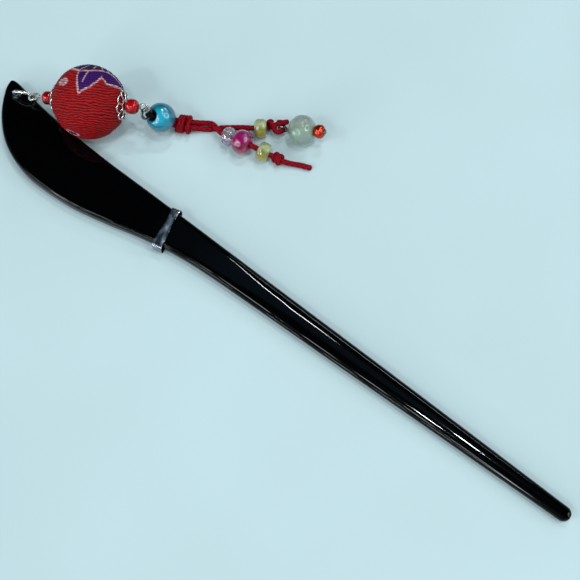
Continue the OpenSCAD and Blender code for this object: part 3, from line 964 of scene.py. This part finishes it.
# The rib height that lies on the ball's own radius, and the most above it
RIB_LEVEL = 0.92
RIB_REACH = 0.15
RIB_WAVES = [
    # waves across the ball, shift, and strength
    (2.6, (0, 0, 0), 0.8),
    (8.06, (7, 1, 2), 0.75),
    (18.2, (2, 5, 1), 0.2),
]
BREAK_WAVES = [(13, (3, 9, 4), 0.35)]
GRAIN_WAVES = [(40, (0, 0, 0), 0.12)]
PRINT_WAVES = [(11, (0, 0, 0), 0.3), (29, (0, 0, 0), 0.2)]
PETALS = [
    # angle of the tip, reach of the tip, spread before and after it
    (0, 16.7, 17, 33),
    (38, 11.8, 30, 55),
    (104, 13.2, 30, 30),
    (158, 13.8, 30, 30),
    (-152, 13.2, 28, 30),
    (-98, 13.8, 30, 34),
]
PETAL_BULGE = 0.66
HEART_R = 8.3
HEART_LOBE = 1.7
HEART_TURN = 20
FLOWERS = [
    # middle, what the first petal points at, scale
    ((112, 8), (-69.2, 71.4), 1),
    ((-150, -42), (-100, 30), 0.36),
    ((20, -58), (-100, -30), 0.4),
]
SPOTS = [
    # middle, half its length, half its width, lean, and the layer that it is in
    ((-155, 54.5), 1.8, 1.05, -12, "bud"),
    ((-75, -4), 1.1, 2, 0, "dark"),
    ((2, -34), 3, 1.6, 40, "dark"),
]
OUTLINE_W = 0.26
EDGE_SOFTNESS = 0.15
# Where the first petal's vein lies, and how much finer than an outline it is
VEIN_TURN = -0.5
VEIN_SPAN = (9.4, 13.4)
VEIN_FINE = 1.3
# The angle between stamens, and the shares of the heart's reach that they and the dot take
STAMEN_STEP = 18
STAMEN_TURN = -5
STAMEN_SPAN = (0.62, 0.86)
STAMEN_FINE = 1.6
HEART_DOT = 0.12


def added_waves(way, waves):
    return sum(strength * noise.noise(Vector(way * scale + shift)) for scale, shift, strength in waves)


def on_sheet(directions, middle, towards):
    """Distance from a middle and angle from the way towards a second point, over the ball's surface."""
    axis, first = aimed(*middle), aimed(*towards)
    ahead = unit(first - axis * np.dot(first, axis))
    aside = np.cross(axis, ahead)
    reach = np.arccos(np.clip(directions @ axis, -1, 1)) * BALL_R
    return reach, np.degrees(np.arctan2(directions @ aside, directions @ ahead))


def heart_edge(turn):
    """How far a flower's heart reaches at an angle."""
    return HEART_R + HEART_LOBE * np.cos(np.radians(3 * (turn + HEART_TURN)))


def petal_edge(turn):
    """How far a flower's petals reach at an angle."""
    heart = heart_edge(turn)
    edge = heart
    for tip, length, before, after in PETALS:
        off = (turn - tip + 180) % 360 - 180
        share = np.clip(1 - np.where(off < 0, -off / before, off / after), 0, 1)
        edge = np.maximum(edge, heart + (length - heart) * share ** PETAL_BULGE)
    return edge


def depth_in(edge_at, reach, turn):
    """How deep places lie inside an edge, square to it."""
    slope = (edge_at(turn + 1) - edge_at(turn - 1)) / (np.radians(2) * np.maximum(reach, 1))
    return (edge_at(turn) - reach) / np.sqrt(1 + slope ** 2)


def stroke(distance):
    """A pale line where a distance is about 0."""
    return np.clip(1.5 - np.abs(distance) / OUTLINE_W, 0, 1)


def inside(depth):
    """How far a place counts as inside an edge, from 0 to 1."""
    return np.clip(depth / EDGE_SOFTNESS, 0, 1)


def vein(reach, turn):
    """A pale stroke down the first petal."""
    aside = np.radians(turn - VEIN_TURN) * reach
    return stroke(aside * VEIN_FINE) * (reach > VEIN_SPAN[0]) * (reach < VEIN_SPAN[1])


def stamens(reach, turn):
    """Short pale strokes round the heart, and a dot in its middle."""
    share = reach / heart_edge(turn)
    aside = ((turn - STAMEN_TURN) / STAMEN_STEP % 1 - 0.5) * np.radians(STAMEN_STEP) * reach
    strokes = stroke(aside * STAMEN_FINE) * (share > STAMEN_SPAN[0]) * (share < STAMEN_SPAN[1])
    return np.maximum(strokes, share < HEART_DOT)


def paint(directions):
    """How much each direction from the ball's centre is violet, dark, bud or pale outline."""
    rough = np.array([added_waves(d, PRINT_WAVES) for d in directions])
    layers = {key: np.zeros(len(directions)) for key in ("violet", "dark", "bud", "line")}

    def add(layer, amount):
        layers[layer] = np.maximum(layers[layer], amount)

    for middle_at, towards, scale in FLOWERS:
        reach, turn = on_sheet(directions, middle_at, towards)
        reach = reach / scale
        petals = depth_in(petal_edge, reach, turn) * scale + rough
        heart = depth_in(heart_edge, reach, turn) * scale + rough * 0.5
        add("violet", inside(petals))
        add("dark", inside(heart))
        add("line", stroke(petals - OUTLINE_W))
        add("line", stroke(heart))
        add("line", vein(reach, turn) * (scale == 1))
        add("line", stamens(reach, turn))
    for middle_at, half_l, half_w, lean, layer in SPOTS:
        reach, turn = on_sheet(directions, middle_at, (0, 90))
        along = reach * np.cos(np.radians(turn - lean)) / half_l
        aside = reach * np.sin(np.radians(turn - lean)) / half_w
        depth = (1 - np.hypot(along, aside)) * half_w + rough * 0.5
        add(layer, inside(depth))
        add("line", stroke(depth - OUTLINE_W))
    return layers


def rib_height(way):
    """How high the crepe stands, from 0 in a valley to 1 on a rib, and how it is broken up."""
    latitude = math.asin(max(-1, min(1, float(np.dot(way, RIB_POLE))))) * BALL_R
    wander = added_waves(way, RIB_WAVES) * RIB_WANDER
    rib = 0.5 + 0.5 * math.sin(2 * math.pi * (latitude / RIB_STEP + wander))
    return rib ** RIB_SHARPNESS * (RIB_FULL + added_waves(way, BREAK_WAVES)) + added_waves(way, GRAIN_WAVES)


def make_ball(material):
    """The crepe skin: a fine grid about the wire, with a bore that lets the wire through."""
    outs = spokes(*square_to(PIN_WAY), full_turn(BALL_COLS))
    edge = math.asin(BALL_BORE / BALL_R)
    ways = np.vstack([math.cos(polar) * PIN_WAY + math.sin(polar) * outs
                      for polar in np.linspace(edge, math.pi - edge, BALL_ROWS)])
    ribs = np.array([rib_height(way) for way in ways])
    heights = RIB_DEPTH * np.clip(ribs - RIB_LEVEL, -1, RIB_REACH)
    skin = BALL_AT + ways * (BALL_R + heights)[:, None]
    left, right = [BALL_AT + sign * (BALL_R - MOUTH_DEPTH) * PIN_WAY + MOUTH_R * outs for sign in (-1, 1)]
    values = {key: np.pad(column, BALL_COLS) for key, column in {"rib": ribs, **paint(ways)}.items()}
    faces = grid_faces(BALL_ROWS + 2, BALL_COLS, wrap_rows=True)
    make_piece("fabric_ball", np.vstack([right, skin, left]), faces, material, values=values)


def crepe():
    """Crepe with painted shade: the red and the printed inks are darker in the valleys than on the ribs."""
    made, tree, shader = new_material("red_crepe", Roughness=0.7, Specular_IOR_Level=0.08)
    rib = attribute(tree, "rib")
    thread = noise_value(tree, 7000, detail=2)
    inks = [
        # layer, colour in the valleys with painted shade, colour on the ribs
        ("violet", (0.01, 0.002, 0.06), (0.045, 0.01, 0.18)),
        ("dark", (0.006, 0.004, 0.03), (0.04, 0.03, 0.12)),
        ("bud", (0.2, 0.08, 0.13), (0.42, 0.27, 0.34)),
        ("line", (0.36, 0.17, 0.17), (0.8, 0.55, 0.54)),
    ]
    # Painted shade: the red darkens from the ribs down into the valleys
    colour = ramp(tree, rib, [(0.05, (0.06, 0, 0.002)), (0.32, (0.24, 0.001, 0.003)),
                              (0.95, (0.43, 0.012, 0.012))])
    for layer, valley, crest in inks:
        colour = mixed(tree, attribute(tree, layer), colour, ramp(tree, rib, [(0.2, valley), (1, crest)]))
    fluff = spread(tree, thread, 0, 0.12, 0.4, 0.8)
    feed(shader, "Base Color", mixed(tree, fluff, colour, (0.6, 0.1, 0.1, 1)))
    bump(tree, shader, thread, 0.00004, 0.6)
    return made


# Beads on the cord
BLUE_AT = np.array([40.2, 16.78, 5.98])
BLUE_WAY = aimed(62.3, -48.2)
BLUE_SIZE = (7.6, 7.2, 1.5)
BLUE_LIP = 0.2
# Towards the middle of the painted highlight, the bead's brightest place, and how far from its middle the
# colours' scale ends
BLUE_LIT_WAY = unit((0.30, -0.38, 0.87))
BLUE_LIT_REACH = 3.8
BLUE_COLOURS_WITH_PAINTED_LIGHT = [(0, (0, 0.05, 0.09)), (0.45, (0, 0.11, 0.17)), (0.72, (0.001, 0.2, 0.31)),
                (0.95, (0.005, 0.36, 0.5))]


def blue_glass():
    """Silky turquoise glass: a painted highlight, a brighter zone on its upper side that darkens away from
    it as painted shade, and fine streaks.
    """
    made, tree, shader = new_material("blue_glass", Coat_Weight=1, Coat_Roughness=0.01, Coat_IOR=1.8,
                                      Roughness=0.5, IOR=1.5, Specular_IOR_Level=0.1)
    from_middle = add_node(tree, "ShaderNodeVectorMath", {0: object_point(tree), 1: tuple(at(BLUE_AT))},
                           operation="SUBTRACT").outputs["Vector"]
    lit = dot(tree, from_middle, BLUE_LIT_WAY / (BLUE_LIT_REACH * MM))
    streak = spread(tree, noise_value(tree, 900), -0.12, 0.12)
    feed(shader, "Base Color", ramp(tree, added(tree, lit, streak), BLUE_COLOURS_WITH_PAINTED_LIGHT))
    return made


CORD_BEADS = [
    # name, stretch and place along it, size, roundness, material
    ("clear_bead", PAIR, 1.86, (4.9, 3.1, 0.85), 0.85, "clear"),
    ("magenta_bead", PAIR, 6.1, (6.4, 4.9, 0.85), 0.9, "magenta"),
    ("yellow_bead_lower", STOP, 1.79, (5, 3.3, 0.85), 0.75, "yellow"),
    ("yellow_bead_upper", SINGLE, 2.3, (5, 3.3, 0.85), 0.75, "yellow"),
]


def make_cord_beads(mats):
    make_bead("blue_bead", BLUE_AT, BLUE_WAY, BLUE_SIZE, 0.97, mats["blue"], lip=BLUE_LIP)
    for name, stretch, along, size, roundness, material in CORD_BEADS:
        spot, way = on_stretch(stretch, along)
        make_bead(name, spot, way, size, roundness, mats[material])


PALE_SIZE = (8, 6.8, 0.5)
END_SIZE = (3.6, 2.7, 0.45)
EYE_LIE = (90, DROP_TURN - 90)
EYE_ANGLES = (18, 358)
EYE_NECK = 0.3
STEM_SPARE = 0.25
HEAD_SUNK = 0.2
HEAD = [(0.001, 0.4), (0.45, 0.36), (0.7, 0.22), (0.75, 0.08), (0.66, 0), (0.001, 0)]


def make_drop(mats):
    """The two beads, and the wire that carries them, with an eye and a head."""
    make_bead("pale_bead", PALE_AT, DROP_WAY, PALE_SIZE, 0.97, mats["pale"])
    make_bead("end_bead", PALE_AT + END_ALONG * DROP_WAY, DROP_WAY, END_SIZE, 0.85, mats["orange"])
    eye = loop_points(EYE_AT, EYE_LIE, EYE_R, DROP_WAY, EYE_ANGLES)
    stem_end = END_ALONG + END_SIZE[1] / 2 + STEM_SPARE
    points = eye + [EYE_AT + (EYE_R + EYE_NECK) * DROP_WAY, PALE_AT + stem_end * DROP_WAY]
    stem = sweep(wire_path(points, DROP_WIRE_R, EYE_NECK), 16)
    head = lathe(HEAD, PALE_AT + (stem_end - HEAD_SUNK) * DROP_WAY, DROP_WAY, 32)
    make_piece("head_pin", *join_parts([stem, head]), mats["dark_wire"])


# Floor and light
FLOOR_HALF = 3


def make_floor():
    """A pale floor far larger than the view, in metres."""
    mesh = bpy.data.meshes.new("floor")
    corners = [(x * FLOOR_HALF, y * FLOOR_HALF, 0) for x, y in ((-1, -1), (1, -1), (1, 1), (-1, 1))]
    mesh.from_pydata(corners, [], [(0, 1, 2, 3)])
    made, tree, shader = new_material("floor", Roughness=0.7, Specular_IOR_Level=0.2)
    cloud = noise_value(tree, 14, detail=2)
    feed(shader, "Base Color", ramp(tree, cloud, [(0.3, (0.535, 0.655, 0.67)), (0.7, (0.567, 0.7, 0.713))]))
    mesh.materials.append(made)
    add_object("floor", mesh)


LAMPS_AROUND = (60, 5, 0)
LAMP_DISTANCE = 1
LAMPS = [
    # turn, tilt, width and height in metres, power, radius of the ring that it is, if any
    (-95, 32, 0.055, 0.055, 4.6, 0.32),
    (-73, 73, 0.04, 0.04, 1.2, 0),
    (50, 79, 0.04, 0.04, 1.4, 0),
    (110.5, 60, 0.17, 0.018, 1.4, 0),
    (92, 30, 0.45, 0.03, 0.8, 0),
    (235, 46, 0.5, 0.02, 1.1, 0),
    (33, 41.5, 0.055, 0.055, 4.9, 0.32),
    (240, 5, 0.6, 0.2, 1.4, 0),
]
RING_DISCS = 24
LAMP_COLOUR = (0.9, 1, 1.05)
DARK_WAY = aimed(122, 66)
PATCH_WAY = aimed(112, 73)


def add_disc(spot, width, height, power):
    data = bpy.data.lights.new("lamp", "AREA")
    data.shape = "ELLIPSE"
    data.size = width
    data.size_y = height
    data.energy = power
    data.color = LAMP_COLOUR
    lamp = add_object("lamp", data)
    lamp.location = spot
    lamp.rotation_euler = (at(LAMPS_AROUND) - Vector(spot)).to_track_quat("-Z", "Y").to_euler()


def add_lamps():
    """Lamps and rings of lamps, whose images show in the beads and along the shaft."""
    for turn, tilt, width, height, power, ring in LAMPS:
        way = aimed(turn, tilt)
        spot = np.array(at(LAMPS_AROUND)) + way * LAMP_DISTANCE
        if not ring:
            add_disc(spot, width, height, power)
            continue
        for out in spokes(*square_to(way), full_turn(RING_DISCS)):
            add_disc(spot + ring * out, width, height, power / RING_DISCS)


def make_world():
    """A pale room that is dark where the flat black face mirrors it, but for a bluish patch."""
    world = bpy.data.worlds.new("world")
    world.use_nodes = True
    tree = world.node_tree
    way = add_node(tree, "ShaderNodeTexCoord").outputs["Generated"]
    dark = ramp(tree, dot(tree, way, DARK_WAY), [(0.25, (0.2, 0.225, 0.24)), (0.62, (0.06, 0.065, 0.07)),
                                                 (0.8, (0.004, 0.004, 0.005))])
    patch = ramp(tree, dot(tree, way, PATCH_WAY), [(0.965, (0, 0, 0)), (0.99, (1, 1, 1))])
    colour = mixed(tree, patch, dark, (0.1, 0.19, 0.27, 1))
    feed(tree.nodes["Background"], "Color", colour)
    tree.nodes["Background"].inputs["Strength"].default_value = 1
    bpy.context.scene.world = world


make_camera()
cord_material = cord_red()
make_cord("cord_lower", LOWER_SQUEEZED, LOWER_FREE, cord_material)
make_cord("cord_upper", UPPER_SQUEEZED, UPPER_FREE, cord_material)
make_knots(cord_material)
silver = metal("silver_wire", (0.8, 0.79, 0.75), 0.2, 0.3, depth=0.000002)
dark_wire = metal("dark_wire", (0.22, 0.215, 0.2), 0.08, 0.2)
strip = metal("silver_strip", (0.32, 0.36, 0.4), 0.13, 0.22, scale=500, depth=0.000002, metallic=0.98)
make_stick(black_plastic())
make_band(strip)
make_jump_ring("tip_ring", silver)
make_eye_pin(silver)
make_jump_ring("link_ring", dark_wire)
make_red_beads(glass("red_glass", RED_COLOURS_WITH_PAINTED_LIGHT, 0.1, coat=0.25))
make_cap("cap_left", -1, silver)
make_cap("cap_right", 1, silver)
make_ball(crepe())
bead_materials = {
    "blue": blue_glass(),
    "clear": glass("clear_glass", CLEAR_COLOURS_WITH_PAINTED_LIGHT, 0.85, coat=0.6),
    "magenta": glass("magenta_glass", MAGENTA_COLOURS_WITH_PAINTED_LIGHT, 0.05),
    "yellow": glass("yellow_glass", YELLOW_COLOURS_WITH_PAINTED_LIGHT, 0.2, cloudy=0.15),
    "pale": glass("pale_glass", PALE_COLOURS_WITH_PAINTED_LIGHT, 0.25, roughness=0.12, scale=350, coat=0.45),
    "orange": metal("orange_metallic", (0.7, 0.07, 0.035), 0.2, 0.4),
    "dark_wire": dark_wire,
}
make_cord_beads(bead_materials)
make_drop(bead_materials)
make_floor()
add_lamps()
make_world()
bpy.context.scene.view_settings.view_transform = "Standard"
